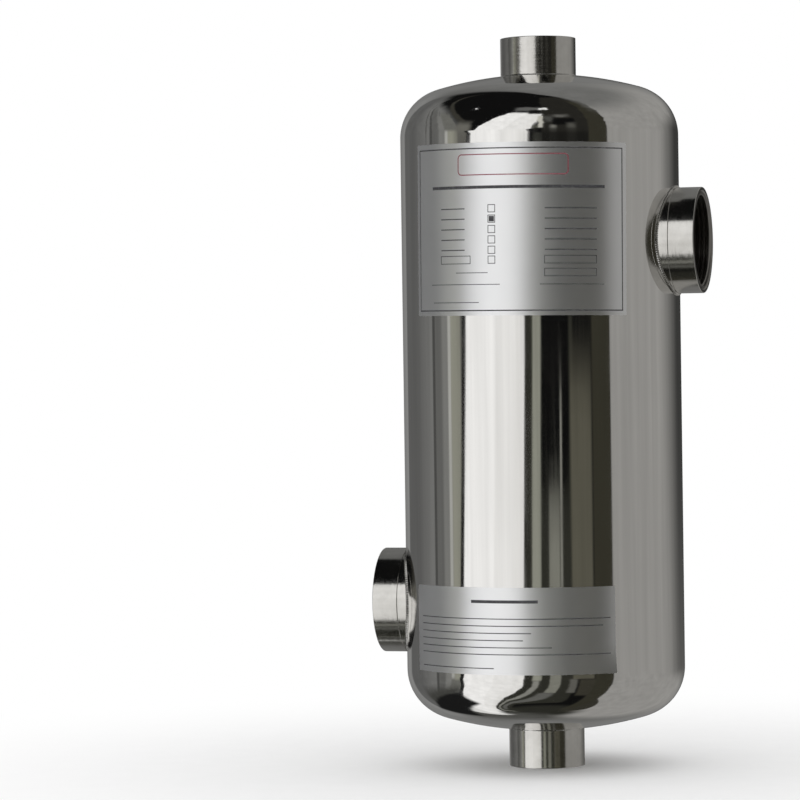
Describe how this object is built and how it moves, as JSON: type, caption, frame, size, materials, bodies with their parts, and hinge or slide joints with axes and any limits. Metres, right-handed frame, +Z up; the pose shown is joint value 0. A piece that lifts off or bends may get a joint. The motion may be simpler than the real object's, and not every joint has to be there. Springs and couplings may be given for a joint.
{
  "type": "shell and tube heat exchanger",
  "caption": "Upright polished stainless shell with dished heads, threaded end sockets, threaded side ports at opposite sides and a baffled straight tube bundle inside.",
  "frame": {"origin": "centre of the bottom socket's rim, on the floor", "axes": "+Z up along the shell's axis, +X towards the upper side port, -Y the front"},
  "size_m": [0.1666, 0.14, 0.3664],
  "materials": {
    "polished_steel": "polished",
    "turned_steel": "polished",
    "weld_steel": "satin",
    "sheet_steel": "satin",
    "tube_steel": "satin"
  },
  "bodies": {
    "root": {"shell": "polished_steel", "top_head": "polished_steel", "bottom_head": "polished_steel", "top_socket": "turned_steel", "bottom_socket": "turned_steel", "upper_port_neck": "turned_steel", "upper_port_socket": "turned_steel", "lower_port_neck": "turned_steel", "lower_port_socket": "turned_steel", "top_socket_weld": "weld_steel", "bottom_socket_weld": "weld_steel", "upper_port_weld": "weld_steel", "lower_port_weld": "weld_steel", "top_tube_sheet": "sheet_steel", "bottom_tube_sheet": "sheet_steel", "baffle_1": "sheet_steel", "baffle_2": "sheet_steel", "baffle_3": "sheet_steel", "baffle_4": "sheet_steel", "tube_row_1": "tube_steel", "tube_row_2": "tube_steel", "tube_row_3": "tube_steel", "tube_row_4": "tube_steel", "tube_row_5": "tube_steel", "tube_row_6": "tube_steel", "tube_row_7": "tube_steel", "tie_rod_1": "tube_steel", "tie_rod_2": "tube_steel", "tie_rod_3": "tube_steel", "tie_rod_4": "tube_steel"}
  },
  "joints": []
}
